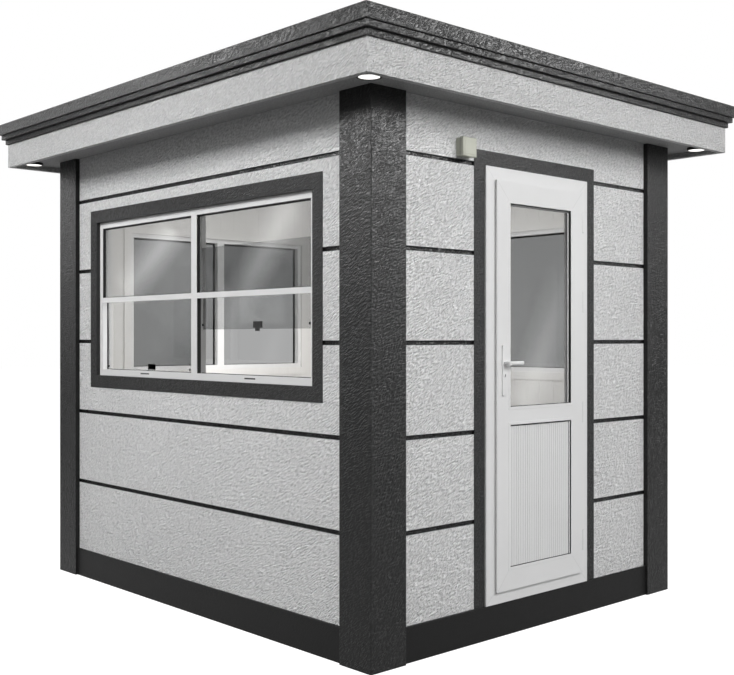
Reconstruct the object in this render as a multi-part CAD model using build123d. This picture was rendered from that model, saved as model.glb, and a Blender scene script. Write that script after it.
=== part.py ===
from build123d import *
import os

# A flat-roofed guard booth, in millimetres, standing on the ground at z = 0.
# x runs to the right along the door wall, y from the door wall to the back, z up.
# The origin is on the ground under the centre of the plan.

# Plan and levels
WALL_LENGTH_X = 2100
WALL_LENGTH_Y = 2650
WALL_THICKNESS = 70
PLINTH_HEIGHT = 151
PLINTH_PROUD = 12
PLINTH_SET_IN = 18
PLINTH_EDGE_ROUNDING = 3
CEILING_ABOVE_DOOR = 251
CEILING_THICKNESS = 40

# Grooves between the cladding panels
PANEL_PITCH = 395.7
GROOVE_HEIGHT = 20
GROOVE_DEPTH = 10

# Corner posts, angles that wrap the walls' corners
POST_PROUD = 25
POST_FACE = 195
POST_ROUNDING = 4

# Eaves and roof: the fascia's overhang is measured from the walls' outer faces
FASCIA_OVERHANG = 240
FASCIA_THICKNESS = 30
FASCIA_HEIGHT = 132
SOFFIT_RECESS = 28
SOFFIT_THICKNESS = 12
CORNICE_STEPS = (11, 17, 9)
CORNICE_HEIGHTS = (27, 27, 63)
CORNICE_INNER_STEP = 90
CORNICE_EDGE_ROUNDING = 4
ROOF_LIP = 20

# Downlights in the corners of the soffit
DOWNLIGHT_OVERHANG_SHARE = 0.63
DOWNLIGHT_LENS_RADIUS = 43
DOWNLIGHT_BODY_WALL = 4
DOWNLIGHT_FLANGE_LAP = 3
DOWNLIGHT_FLANGE_HEIGHT = 15
DOWNLIGHT_LENS_DROP = 13
DOWNLIGHT_LENS_THICKNESS = 6

# Flat dark trim bands round the openings, let into the cladding
TRIM_WIDTH = 68
TRIM_PROUD = 3
TRIM_LET_IN = 5
TRIM_LIP = 5

# Windows: openings are measured inside the trim's lip
SIDE_WINDOW_TO_POST = 137
BACK_WINDOW_TO_POST = 152
BACK_WINDOW_SHIFT = 20
WINDOW_HEAD_DROP = 381
WINDOW_HEIGHT = 846
WINDOW_RECESS = 18
WINDOW_RAIL = 38
MULLION_WIDTH = 50
TRANSOM_LEVEL_SHARE = 0.4752
TRANSOM_HEIGHT = 27
TRANSOM_DEPTH = 28
GLASS_SET_BACK = 16
GLASS_THICKNESS = 8

# Vertical sliding sashes of the window in the left wall
SASH_LAP = 6
SASH_CLEARANCE = 4
SASH_THICKNESS = 6
SASH_LIFT_SHARE = 0.537
LATCH_WIDTH = 60
LATCH_HEIGHT = 30
LATCH_THICKNESS = 10
LATCH_ABOVE_EDGE = 6
LATCH_BOLT_WIDTH = 28
LATCH_BOLT_DROP = 9
LATCH_BOLT_THICKNESS = 6

# Door frame and leaf: the leaf's flange laps over the frame's inner edges
DOOR_FRAME_WIDTH = 744
DOOR_FRAME_HEIGHT = 1966
DOOR_FRAME_PROUD = 12
DOOR_FRAME_DEPTH = 70
DOOR_FRAME_RAIL = 70
LEAF_SIDE_LAP = 12.5
LEAF_BOTTOM_LAP = 16
LEAF_TOP_LAP = 11
LEAF_SEAL_GAP = 5
LEAF_FLANGE_THICKNESS = 10
LEAF_BODY_THICKNESS = 30
LEAF_CLEARANCE = 8
LEAF_STILE = 91
LEAF_TOP_RAIL = 98
LEAF_MID_RAIL = 82
LEAF_MID_RAIL_SHARE = 0.4037
LEAF_BOTTOM_RAIL = 103
LEAF_GLASS_SET_BACK = 11
LEAF_GLASS_THICKNESS = 20
LEAF_PANEL_SET_BACK = 7
LEAF_PANEL_THICKNESS = 24
PANEL_RIB_PITCH = 16
PANEL_FLUTE_WIDTH = 5
PANEL_FLUTE_DEPTH = 2

# Hinges: each barrel is a lower half on the frame and an upper half on the leaf
HINGE_LEVEL_SHARES = (0.0847, 0.4215, 0.7118, 0.9218)
HINGE_HEIGHT = 100
HINGE_RADIUS = 7
HINGE_OFF_LEAF = 10.5
HINGE_OFF_FRAME = 1
HINGE_GAP = 0.5
HINGE_TAB_THICKNESS = 5
HINGE_PLATE_WIDTH = 20

# Lever handle on its back plate
HANDLE_FROM_EDGE = 46.5
HANDLE_ABOVE_LEAF_BOTTOM = 1030
HANDLE_PLATE_WIDTH = 32
HANDLE_PLATE_BELOW = 147
HANDLE_PLATE_ABOVE = 82
HANDLE_PLATE_THICKNESS = 6
HANDLE_PLATE_ROUNDING = 6
HANDLE_NECK_RADIUS = 9
HANDLE_NECK_CLEARANCE = 0.05
HANDLE_STAND_OFF = 36
HANDLE_LEAF_GAP = 0.5
LEVER_LENGTH = 90
LEVER_HEIGHT = 16
LEVER_THICKNESS = 13
LEVER_ROUNDING_SHARE = 0.46

# Junction box beside the top of the door
JUNCTION_BOX_TO_TRIM = 32.5
JUNCTION_BOX_ABOVE_DOOR = 22
JUNCTION_BOX_WIDTH = 81
JUNCTION_BOX_HEIGHT = 78
JUNCTION_BOX_DEPTH = 27
JUNCTION_COVER_OVERSAIL = 3
JUNCTION_COVER_DEPTH = 18
JUNCTION_COVER_ROUNDING = 4

# Worked out from the sizes above: plan and levels
HALF_X = WALL_LENGTH_X / 2
HALF_Y = WALL_LENGTH_Y / 2
INNER_HALF_X = HALF_X - WALL_THICKNESS
INNER_HALF_Y = HALF_Y - WALL_THICKNESS
DOOR_TOP = PLINTH_HEIGHT + DOOR_FRAME_HEIGHT
CEILING_LEVEL = DOOR_TOP + CEILING_ABOVE_DOOR
FASCIA_BOTTOM = CEILING_LEVEL - SOFFIT_RECESS
FASCIA_TOP = FASCIA_BOTTOM + FASCIA_HEIGHT
SOFFIT_OVERHANG = FASCIA_OVERHANG - FASCIA_THICKNESS
CORNICE_INNER_OVERHANG = FASCIA_OVERHANG - CORNICE_INNER_STEP
CORNICE_OVERHANG = FASCIA_OVERHANG + sum(CORNICE_STEPS)
ROOF_DECK_THICKNESS = sum(CORNICE_HEIGHTS) - ROOF_LIP
DOWNLIGHT_BODY_RADIUS = DOWNLIGHT_LENS_RADIUS + DOWNLIGHT_BODY_WALL
DOWNLIGHT_FLANGE_RADIUS = DOWNLIGHT_BODY_RADIUS + DOWNLIGHT_FLANGE_LAP
GROOVE_COUNT = int((CEILING_LEVEL - PLINTH_HEIGHT) // PANEL_PITCH)

# Worked out: windows
POST_COVER = POST_FACE - POST_PROUD
SIDE_WINDOW_WIDTH = WALL_LENGTH_Y - 2 * (POST_COVER + SIDE_WINDOW_TO_POST + TRIM_WIDTH)
BACK_WINDOW_WIDTH = WALL_LENGTH_X - 2 * (POST_COVER + BACK_WINDOW_TO_POST + TRIM_WIDTH)
WINDOW_SILL = CEILING_LEVEL - WINDOW_HEAD_DROP - WINDOW_HEIGHT
INNER_SILL = WINDOW_SILL - TRIM_LIP + WINDOW_RAIL
TRANSOM_BOTTOM = WINDOW_SILL + TRANSOM_LEVEL_SHARE * WINDOW_HEIGHT
TRANSOM_TOP = TRANSOM_BOTTOM + TRANSOM_HEIGHT
SASH_HEIGHT = TRANSOM_TOP + SASH_LAP - INNER_SILL
SASH_SET_BACK = TRANSOM_DEPTH + SASH_CLEARANCE
RAISED_SASH_BOTTOM = INNER_SILL + SASH_LIFT_SHARE * SASH_HEIGHT

# Worked out: door
HALF_DOOR = DOOR_FRAME_WIDTH / 2
HALF_DOOR_TRIM = HALF_DOOR + TRIM_WIDTH
HALF_LEAF = HALF_DOOR - DOOR_FRAME_RAIL + LEAF_SIDE_LAP
LEAF_BOTTOM = PLINTH_HEIGHT + DOOR_FRAME_RAIL - LEAF_BOTTOM_LAP
LEAF_TOP = DOOR_TOP - DOOR_FRAME_RAIL + LEAF_TOP_LAP
LEAF_HEIGHT = LEAF_TOP - LEAF_BOTTOM
LEAF_PROUD = DOOR_FRAME_PROUD + LEAF_SEAL_GAP + LEAF_FLANGE_THICKNESS
LEAF_PANEL_LEVELS = (LEAF_BOTTOM + LEAF_BOTTOM_RAIL, LEAF_BOTTOM + LEAF_MID_RAIL_SHARE * LEAF_HEIGHT)
LEAF_GLASS_LEVELS = (LEAF_PANEL_LEVELS[1] + LEAF_MID_RAIL, LEAF_TOP - LEAF_TOP_RAIL)
HINGE_AXIS_X = HALF_LEAF + HINGE_OFF_LEAF
HINGE_AXIS_PROUD = DOOR_FRAME_PROUD + HINGE_OFF_FRAME + HINGE_RADIUS
HANDLE_X = HANDLE_FROM_EDGE - HALF_LEAF
HANDLE_LEVEL = LEAF_BOTTOM + HANDLE_ABOVE_LEAF_BOTTOM
LEVER_ROUNDING = LEVER_ROUNDING_SHARE * LEVER_THICKNESS

# Each wall is drawn as if it were the front wall, then turned into place:
# x along the wall, y inwards from its outer face, z up.
WALL_PLACES = {
    "front": Pos(0, -HALF_Y, 0),
    "right": Pos(HALF_X, 0, 0) * Rot(0, 0, 90),
    "back": Pos(0, HALF_Y, 0) * Rot(0, 0, 180),
    "left": Pos(-HALF_X, 0, 0) * Rot(0, 0, -90),
}
WALL_HALF_LENGTHS = {
    "front": INNER_HALF_X,
    "right": HALF_Y,
    "back": INNER_HALF_X,
    "left": HALF_Y,
}

nodes = {}


def slab(x_span, y_span, z_span):
    """A box between the given limits."""
    low = [span[0] for span in (x_span, y_span, z_span)]
    size = [span[1] - span[0] for span in (x_span, y_span, z_span)]
    return Pos(*low) * Box(*size, align=(Align.MIN, Align.MIN, Align.MIN))


def ring(outer, inner, y_span):
    """An upright rectangular ring; outer and inner are (x span, z span) pairs."""
    return slab(outer[0], y_span, outer[1]) - slab(inner[0], y_span, inner[1])


def grown(rectangle, margin):
    """An (x span, z span) pair widened by the margin on all four sides."""
    return tuple((span[0] - margin, span[1] + margin) for span in rectangle)


def grooves(half_length, keep_clear):
    """The horizontal grooves of one wall, stopping at the trim of its opening."""
    cuts = []
    for row in range(1, GROOVE_COUNT + 1):
        top = PLINTH_HEIGHT + row * PANEL_PITCH
        level = (top - GROOVE_HEIGHT, top)
        cuts.append(slab((-half_length, half_length), (0, GROOVE_DEPTH), level))
    return Part() + cuts - slab(keep_clear[0], (0, GROOVE_DEPTH), keep_clear[1])


def window_opening(width, centre):
    """The opening inside the trim's lip, as an (x span, z span) pair."""
    return (centre - width / 2, centre + width / 2), (WINDOW_SILL, WINDOW_SILL + WINDOW_HEIGHT)


def wall_with_window(side, opening):
    """A clad wall with its grooves, its window hole and the rebate for the trim."""
    half_length = WALL_HALF_LENGTHS[side]
    band = grown(opening, TRIM_WIDTH)
    hole = grown(opening, TRIM_LIP)
    wall = slab((-half_length, half_length), (0, WALL_THICKNESS), (PLINTH_HEIGHT, FASCIA_TOP))
    wall -= slab(hole[0], (0, WALL_THICKNESS), hole[1])
    wall -= slab(band[0], (0, TRIM_LET_IN), band[1])
    wall -= grooves(half_length, band)
    return WALL_PLACES[side] * wall


def window_trim(side, opening):
    """The flat band round a window, with a lip that lines the reveal."""
    hole = grown(opening, TRIM_LIP)
    band = ring(grown(opening, TRIM_WIDTH), opening, (-TRIM_PROUD, TRIM_LET_IN))
    lip = ring(hole, opening, (-TRIM_PROUD, WINDOW_RECESS))
    return WALL_PLACES[side] * (band + lip)


def window_panes(opening):
    """The two clear openings between the window frame's outer rails and its mullion."""
    hole = grown(opening, TRIM_LIP)
    inner = grown(hole, -WINDOW_RAIL)
    middle = (inner[0][0] + inner[0][1]) / 2
    half_mullion = MULLION_WIDTH / 2
    left = ((inner[0][0], middle - half_mullion), inner[1])
    right = ((middle + half_mullion, inner[0][1]), inner[1])
    return left, right


def window_frame(side, opening, with_transom):
    """The frame in the hole: outer rails, a mullion and, where asked, a transom."""
    hole = grown(opening, TRIM_LIP)
    frame = slab(hole[0], (WINDOW_RECESS, WALL_THICKNESS), hole[1])
    for pane in window_panes(opening):
        frame -= slab(pane[0], (WINDOW_RECESS, WALL_THICKNESS), pane[1])
        if with_transom:
            depth = (WINDOW_RECESS, WINDOW_RECESS + TRANSOM_DEPTH)
            frame += slab(pane[0], depth, (TRANSOM_BOTTOM, TRANSOM_TOP))
    return WALL_PLACES[side] * frame


def window_glass(side, opening, bottom):
    """The two fixed panes of a window, from the given level up."""
    front = WINDOW_RECESS + GLASS_SET_BACK
    panes = []
    for x_span, z_span in window_panes(opening):
        panes.append(slab(x_span, (front, front + GLASS_THICKNESS), (bottom, z_span[1])))
    return WALL_PLACES[side] * (Part() + panes)


def sash_bottoms(opening):
    """Each sash opening with the level of its sash: the left one shut, the right one raised."""
    left, right = window_panes(opening)
    return (left, left[1][0]), (right, RAISED_SASH_BOTTOM)


def sash_glass(opening):
    """The two frameless sliding panes behind the transom."""
    front = WINDOW_RECESS + SASH_SET_BACK
    sashes = []
    for pane, bottom in sash_bottoms(opening):
        sashes.append(slab(pane[0], (front, front + SASH_THICKNESS), (bottom, bottom + SASH_HEIGHT)))
    return WALL_PLACES["left"] * (Part() + sashes)


def sash_latches(opening):
    """A latch on the inside of each sash; the raised one shows its bolt."""
    back = WINDOW_RECESS + SASH_SET_BACK + SASH_THICKNESS
    latches = []
    for pane, bottom in sash_bottoms(opening):
        middle = (pane[0][0] + pane[0][1]) / 2
        body_span = (middle - LATCH_WIDTH / 2, middle + LATCH_WIDTH / 2)
        body_bottom = bottom + LATCH_ABOVE_EDGE
        latch = slab(body_span, (back, back + LATCH_THICKNESS), (body_bottom, body_bottom + LATCH_HEIGHT))
        if bottom > pane[1][0]:
            bolt_span = (middle - LATCH_BOLT_WIDTH / 2, middle + LATCH_BOLT_WIDTH / 2)
            bolt_depth = (back, back + LATCH_BOLT_THICKNESS)
            latch += slab(bolt_span, bolt_depth, (bottom - LATCH_BOLT_DROP, body_bottom))
        latches.append(latch)
    return WALL_PLACES["left"] * (Part() + latches)


def corner_post():
    """An angle with a rounded outer corner at the origin, reaching along +x and +y."""
    post = slab((0, POST_FACE), (0, POST_FACE), (0, CEILING_LEVEL))
    post -= slab((POST_PROUD, POST_FACE), (POST_PROUD, POST_FACE), (0, CEILING_LEVEL))
    corner = post.edges().filter_by(Axis.Z).sort_by_distance((0, 0, CEILING_LEVEL / 2))[0]
    return fillet(corner, POST_ROUNDING)


def mitred_bar(half_length, half_depth, outer, inner, z_span):
    """A bar along the front edge of a rectangular ring, with its ends cut at 45 degrees."""
    outline = Polyline(
        (-half_length - outer, -half_depth - outer),
        (half_length + outer, -half_depth - outer),
        (half_length + inner, -half_depth - inner),
        (-half_length - inner, -half_depth - inner),
        close=True,
    )
    return Pos(0, 0, z_span[0]) * extrude(make_face(outline), z_span[1] - z_span[0])


def cornice(half_length, half_depth):
    """The stepped moulding along the front edge, its steps growing outwards as they rise."""
    level = FASCIA_TOP
    overhang = FASCIA_OVERHANG
    points = [(CORNICE_INNER_OVERHANG, level)]
    noses = []
    for step, height in zip(CORNICE_STEPS, CORNICE_HEIGHTS):
        overhang += step
        noses.append((overhang, level))
        points.append((overhang, level))
        level += height
        points.append((overhang, level))
    noses.append((CORNICE_OVERHANG, level))
    points.append((CORNICE_INNER_OVERHANG, level))
    outline = make_face(Polyline(*points, close=True))
    tips = [outline.vertices().sort_by_distance(nose)[0] for nose in noses]
    profile = fillet(tips, CORNICE_EDGE_ROUNDING)
    reach = half_length + CORNICE_OVERHANG
    along_x = Plane(origin=(-reach, -half_depth, 0), x_dir=(0, -1, 0), z_dir=(-1, 0, 0))
    moulding = extrude(along_x * profile, -2 * reach)
    wedge = mitred_bar(
        half_length, half_depth, CORNICE_OVERHANG, CORNICE_INNER_OVERHANG, (FASCIA_TOP, level)
    )
    return moulding & wedge


def opposite_pair(piece):
    """The piece and its twin on the opposite side of the booth."""
    return Part() + [piece, Rot(0, 0, 180) * piece]


def downlight_places():
    """The four corners of the soffit where a downlight sits."""
    overhang = DOWNLIGHT_OVERHANG_SHARE * SOFFIT_OVERHANG
    reach_x = HALF_X + overhang
    reach_y = HALF_Y + overhang
    return [Pos(x, y, CEILING_LEVEL) for x in (-reach_x, reach_x) for y in (-reach_y, reach_y)]


def rod(radius, z_span):
    """An upright cylinder between two levels."""
    return Pos(0, 0, z_span[0]) * Cylinder(
        radius, z_span[1] - z_span[0], align=(Align.CENTER, Align.CENTER, Align.MIN)
    )


def plinth_board(reach):
    """A board along the foot of a wall, with its upper outer edge eased."""
    board = slab((-reach, reach), (-PLINTH_PROUD, PLINTH_SET_IN), (0, PLINTH_HEIGHT))
    edge = board.edges().filter_by(Axis.X).sort_by_distance((0, -PLINTH_PROUD, PLINTH_HEIGHT))[0]
    return fillet(edge, PLINTH_EDGE_ROUNDING)


def make_base():
    """The floor and the plinth boards between the posts."""
    floor_x = HALF_X - PLINTH_SET_IN
    floor_y = HALF_Y - PLINTH_SET_IN
    nodes["floor_panel"] = slab((-floor_x, floor_x), (-floor_y, floor_y), (0, PLINTH_HEIGHT))
    reach_x = HALF_X - POST_COVER
    reach_y = HALF_Y - POST_COVER
    nodes["end_plinths"] = opposite_pair(WALL_PLACES["front"] * plinth_board(reach_x))
    nodes["side_plinths"] = opposite_pair(WALL_PLACES["left"] * plinth_board(reach_y))


def make_posts():
    """The four corner posts."""
    reach_x = HALF_X + POST_PROUD
    reach_y = HALF_Y + POST_PROUD
    places = {
        "front_left_post": Pos(-reach_x, -reach_y, 0),
        "front_right_post": Pos(reach_x, -reach_y, 0) * Rot(0, 0, 90),
        "back_right_post": Pos(reach_x, reach_y, 0) * Rot(0, 0, 180),
        "back_left_post": Pos(-reach_x, reach_y, 0) * Rot(0, 0, -90),
    }
    post = corner_post()
    for name, place in places.items():
        nodes[name] = place * post


def make_front_wall():
    """The door wall, split beside and over the doorway."""
    doorway = ((-HALF_DOOR, HALF_DOOR), (PLINTH_HEIGHT, DOOR_TOP))
    band = ((-HALF_DOOR_TRIM, HALF_DOOR_TRIM), (PLINTH_HEIGHT, DOOR_TOP + TRIM_WIDTH))
    cuts = slab(band[0], (0, TRIM_LET_IN), band[1]) + grooves(INNER_HALF_X, band)
    spans = {
        "front_wall_left": ((-INNER_HALF_X, -HALF_DOOR), (PLINTH_HEIGHT, FASCIA_TOP)),
        "front_wall_right": ((HALF_DOOR, INNER_HALF_X), (PLINTH_HEIGHT, FASCIA_TOP)),
        "front_wall_over_door": ((-HALF_DOOR, HALF_DOOR), (DOOR_TOP, FASCIA_TOP)),
    }
    for name, (x_span, z_span) in spans.items():
        nodes[name] = WALL_PLACES["front"] * (slab(x_span, (0, WALL_THICKNESS), z_span) - cuts)
    nodes["door_trim"] = WALL_PLACES["front"] * ring(band, doorway, (-TRIM_PROUD, TRIM_LET_IN))


def make_windows():
    """The three walls with windows, and each window's trim, frame and glass."""
    openings = {
        "left": window_opening(SIDE_WINDOW_WIDTH, 0),
        "right": window_opening(SIDE_WINDOW_WIDTH, 0),
        "back": window_opening(BACK_WINDOW_WIDTH, BACK_WINDOW_SHIFT),
    }
    for side, opening in openings.items():
        has_sashes = side == "left"
        glass_bottom = TRANSOM_TOP if has_sashes else INNER_SILL
        nodes[f"{side}_wall"] = wall_with_window(side, opening)
        nodes[f"{side}_window_trim"] = window_trim(side, opening)
        nodes[f"{side}_window_frame"] = window_frame(side, opening, has_sashes)
        nodes[f"{side}_window_glass"] = window_glass(side, opening, glass_bottom)
    nodes["left_window_sashes"] = sash_glass(openings["left"])
    nodes["left_window_latches"] = sash_latches(openings["left"])


def make_door():
    """The door frame, and the leaf with its light, its fluted panel and its hinges."""
    place = WALL_PLACES["front"]
    frame_outer = ((-HALF_DOOR, HALF_DOOR), (PLINTH_HEIGHT, DOOR_TOP))
    frame_inner = grown(frame_outer, -DOOR_FRAME_RAIL)
    frame_depth = (-DOOR_FRAME_PROUD, DOOR_FRAME_DEPTH - DOOR_FRAME_PROUD)
    nodes["door_frame"] = place * ring(frame_outer, frame_inner, frame_depth)

    half_light = HALF_LEAF - LEAF_STILE
    flange_back = LEAF_FLANGE_THICKNESS - LEAF_PROUD
    leaf_back = flange_back + LEAF_BODY_THICKNESS
    body = grown(frame_inner, -LEAF_CLEARANCE)
    leaf = slab((-HALF_LEAF, HALF_LEAF), (-LEAF_PROUD, flange_back), (LEAF_BOTTOM, LEAF_TOP))
    leaf += slab(body[0], (flange_back, leaf_back), body[1])
    light_span = (-half_light, half_light)
    for z_span in (LEAF_GLASS_LEVELS, LEAF_PANEL_LEVELS):
        leaf -= slab(light_span, (-LEAF_PROUD, leaf_back), z_span)
    nodes["door_leaf"] = place * leaf

    glass_front = LEAF_GLASS_SET_BACK - LEAF_PROUD
    glass_depth = (glass_front, glass_front + LEAF_GLASS_THICKNESS)
    nodes["door_glass"] = place * slab(light_span, glass_depth, LEAF_GLASS_LEVELS)

    panel_front = LEAF_PANEL_SET_BACK - LEAF_PROUD
    panel = slab(light_span, (panel_front, panel_front + LEAF_PANEL_THICKNESS), LEAF_PANEL_LEVELS)
    flute_count = int(2 * half_light // PANEL_RIB_PITCH)
    first_flute = -(flute_count - 1) * PANEL_RIB_PITCH / 2
    flutes = []
    for index in range(flute_count):
        middle = first_flute + index * PANEL_RIB_PITCH
        flute_span = (middle - PANEL_FLUTE_WIDTH / 2, middle + PANEL_FLUTE_WIDTH / 2)
        flutes.append(slab(flute_span, (panel_front, panel_front + PANEL_FLUTE_DEPTH), LEAF_PANEL_LEVELS))
    nodes["door_panel"] = place * (panel - flutes)


def make_hinges():
    """Four two-part hinges on the right-hand edge of the leaf."""
    axis = Pos(HINGE_AXIS_X, -HINGE_AXIS_PROUD, 0)
    half_height = HINGE_HEIGHT / 2
    plate_back = -DOOR_FRAME_PROUD
    plate_span = (HINGE_AXIS_X, HINGE_AXIS_X + HINGE_PLATE_WIDTH)
    tab_depth = (-HINGE_AXIS_PROUD - HINGE_TAB_THICKNESS / 2, -HINGE_AXIS_PROUD + HINGE_TAB_THICKNESS / 2)
    frame_halves = []
    leaf_halves = []
    for share in HINGE_LEVEL_SHARES:
        level = LEAF_BOTTOM + share * LEAF_HEIGHT
        lower = (level - half_height, level - HINGE_GAP)
        upper = (level, level + half_height)
        plate = slab(plate_span, (plate_back - HINGE_TAB_THICKNESS, plate_back), lower)
        frame_halves.append(axis * rod(HINGE_RADIUS, lower) + plate)
        tab = slab((HALF_LEAF, HINGE_AXIS_X), tab_depth, upper)
        leaf_halves.append(axis * rod(HINGE_RADIUS, upper) + tab)
    nodes["frame_hinge_halves"] = WALL_PLACES["front"] * (Part() + frame_halves)
    nodes["leaf_hinge_halves"] = WALL_PLACES["front"] * (Part() + leaf_halves)


def make_handle():
    """The back plate on the leaf and the lever that turns in it."""
    place = WALL_PLACES["front"] * Pos(HANDLE_X, -LEAF_PROUD, 0)
    half_width = HANDLE_PLATE_WIDTH / 2
    plate_levels = (HANDLE_LEVEL - HANDLE_PLATE_BELOW, HANDLE_LEVEL + HANDLE_PLATE_ABOVE)
    plate = slab((-half_width, half_width), (-HANDLE_PLATE_THICKNESS, 0), plate_levels)
    outline_edges = plate.edges().filter_by(Axis.Y)
    plate = fillet(outline_edges, HANDLE_PLATE_ROUNDING)
    outwards = Pos(0, 0, HANDLE_LEVEL) * Rot(90, 0, 0)
    bore = outwards * rod(HANDLE_NECK_RADIUS + HANDLE_NECK_CLEARANCE, (0, HANDLE_PLATE_THICKNESS))
    nodes["handle_plate"] = place * (plate - bore)

    lever_outer = HANDLE_STAND_OFF + LEVER_THICKNESS / 2
    lever_inner = HANDLE_STAND_OFF - LEVER_THICKNESS / 2
    neck = outwards * rod(HANDLE_NECK_RADIUS, (HANDLE_LEAF_GAP, lever_outer))
    half_height = LEVER_HEIGHT / 2
    lever_levels = (HANDLE_LEVEL - half_height, HANDLE_LEVEL + half_height)
    bar = slab((-HANDLE_NECK_RADIUS, LEVER_LENGTH), (-lever_outer, -lever_inner), lever_levels)
    bar = fillet(bar.edges().filter_by(Axis.X), LEVER_ROUNDING)
    nodes["lever_handle"] = place * (bar + neck)


def make_junction_box():
    """A small box and its larger cover, high on the wall to the left of the door."""
    left = -HALF_DOOR_TRIM - JUNCTION_BOX_TO_TRIM - JUNCTION_BOX_WIDTH
    place = WALL_PLACES["front"] * Pos(left, 0, DOOR_TOP + JUNCTION_BOX_ABOVE_DOOR)
    box = ((0, JUNCTION_BOX_WIDTH), (0, JUNCTION_BOX_HEIGHT))
    nodes["junction_box"] = place * slab(box[0], (-JUNCTION_BOX_DEPTH, 0), box[1])
    lid = grown(box, JUNCTION_COVER_OVERSAIL)
    lid_depth = (-JUNCTION_BOX_DEPTH - JUNCTION_COVER_DEPTH, -JUNCTION_BOX_DEPTH)
    cover = slab(lid[0], lid_depth, lid[1])
    cover = fillet(cover.faces().sort_by(Axis.Y)[0].edges(), JUNCTION_COVER_ROUNDING)
    nodes["junction_box_cover"] = place * cover


def make_eaves():
    """The soffit boards with their downlights, the fascias and the stepped cornice."""
    soffit_levels = (CEILING_LEVEL, CEILING_LEVEL + SOFFIT_THICKNESS)
    soffit_depth = (-SOFFIT_OVERHANG, 0)
    long_reach = HALF_Y + SOFFIT_OVERHANG
    side_board = WALL_PLACES["left"] * slab((-long_reach, long_reach), soffit_depth, soffit_levels)
    end_board = WALL_PLACES["front"] * slab((-HALF_X, HALF_X), soffit_depth, soffit_levels)
    holes = [place * rod(DOWNLIGHT_BODY_RADIUS, (0, SOFFIT_THICKNESS)) for place in downlight_places()]
    nodes["side_soffits"] = opposite_pair(side_board) - holes
    nodes["end_soffits"] = opposite_pair(end_board)

    flange = rod(DOWNLIGHT_FLANGE_RADIUS, (-DOWNLIGHT_FLANGE_HEIGHT, 0))
    body = rod(DOWNLIGHT_BODY_RADIUS, (0, SOFFIT_THICKNESS))
    bore = rod(DOWNLIGHT_LENS_RADIUS, (-DOWNLIGHT_FLANGE_HEIGHT, SOFFIT_THICKNESS))
    lens = rod(DOWNLIGHT_LENS_RADIUS, (-DOWNLIGHT_LENS_DROP, DOWNLIGHT_LENS_THICKNESS))
    rings = [place * (flange + body - bore) for place in downlight_places()]
    nodes["downlight_rings"] = Part() + rings
    nodes["downlight_lenses"] = Part() + [place * lens for place in downlight_places()]

    fascia_levels = (FASCIA_BOTTOM, FASCIA_TOP)
    quarter_turn = Rot(0, 0, -90)
    end_fascia = mitred_bar(HALF_X, HALF_Y, FASCIA_OVERHANG, SOFFIT_OVERHANG, fascia_levels)
    side_fascia = quarter_turn * mitred_bar(HALF_Y, HALF_X, FASCIA_OVERHANG, SOFFIT_OVERHANG, fascia_levels)
    nodes["end_fascias"] = opposite_pair(end_fascia)
    nodes["side_fascias"] = opposite_pair(side_fascia)
    nodes["end_cornices"] = opposite_pair(cornice(HALF_X, HALF_Y))
    nodes["side_cornices"] = opposite_pair(quarter_turn * cornice(HALF_Y, HALF_X))


def make_roof():
    """The ceiling between the walls and the flat deck inside the cornice."""
    ceiling_levels = (CEILING_LEVEL, CEILING_LEVEL + CEILING_THICKNESS)
    inner_x = (-INNER_HALF_X, INNER_HALF_X)
    inner_y = (-INNER_HALF_Y, INNER_HALF_Y)
    nodes["ceiling_panel"] = slab(inner_x, inner_y, ceiling_levels)
    deck_x = HALF_X + CORNICE_INNER_OVERHANG
    deck_y = HALF_Y + CORNICE_INNER_OVERHANG
    deck_levels = (FASCIA_TOP, FASCIA_TOP + ROOF_DECK_THICKNESS)
    nodes["roof_deck"] = slab((-deck_x, deck_x), (-deck_y, deck_y), deck_levels)


make_base()
make_posts()
make_front_wall()
make_windows()
make_door()
make_hinges()
make_handle()
make_junction_box()
make_eaves()
make_roof()

os.makedirs("parts", exist_ok=True)
for name, shape in nodes.items():
    export_step(shape, f"parts/{name}.step")
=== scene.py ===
"""Looks of a flat-roofed guard booth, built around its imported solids. Metres, Z up."""

import logging
import math
from abc import ABC, abstractmethod
from collections.abc import Iterable
from dataclasses import dataclass, field
from enum import Enum
from functools import reduce
from typing import ClassVar

import bmesh
import bpy
from mathutils import Matrix, Vector


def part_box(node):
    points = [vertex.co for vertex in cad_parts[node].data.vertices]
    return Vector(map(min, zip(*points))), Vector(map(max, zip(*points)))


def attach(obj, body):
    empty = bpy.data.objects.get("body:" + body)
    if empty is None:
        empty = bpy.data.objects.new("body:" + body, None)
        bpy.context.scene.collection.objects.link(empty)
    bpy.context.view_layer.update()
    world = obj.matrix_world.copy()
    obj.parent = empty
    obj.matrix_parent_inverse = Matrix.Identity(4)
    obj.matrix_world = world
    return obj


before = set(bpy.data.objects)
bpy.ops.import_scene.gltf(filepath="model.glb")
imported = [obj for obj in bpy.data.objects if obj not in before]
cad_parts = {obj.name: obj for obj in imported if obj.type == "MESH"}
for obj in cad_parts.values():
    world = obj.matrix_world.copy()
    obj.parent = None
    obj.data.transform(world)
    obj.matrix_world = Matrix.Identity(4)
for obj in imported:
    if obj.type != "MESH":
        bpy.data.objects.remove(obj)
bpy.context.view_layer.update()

LOG = logging.getLogger("booth")

Colour = tuple[float, float, float]
Point = tuple[float, float, float]
Span = tuple[float, float]
Margins = tuple[float, float, float, float]
Stops = tuple[Span, ...]
Socket = bpy.types.NodeSocket


def rounded(values: Iterable[float]) -> tuple[float, ...]:
    """Lengths to a tenth of a millimetre."""
    return tuple(round(value, 4) for value in values)


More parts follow.
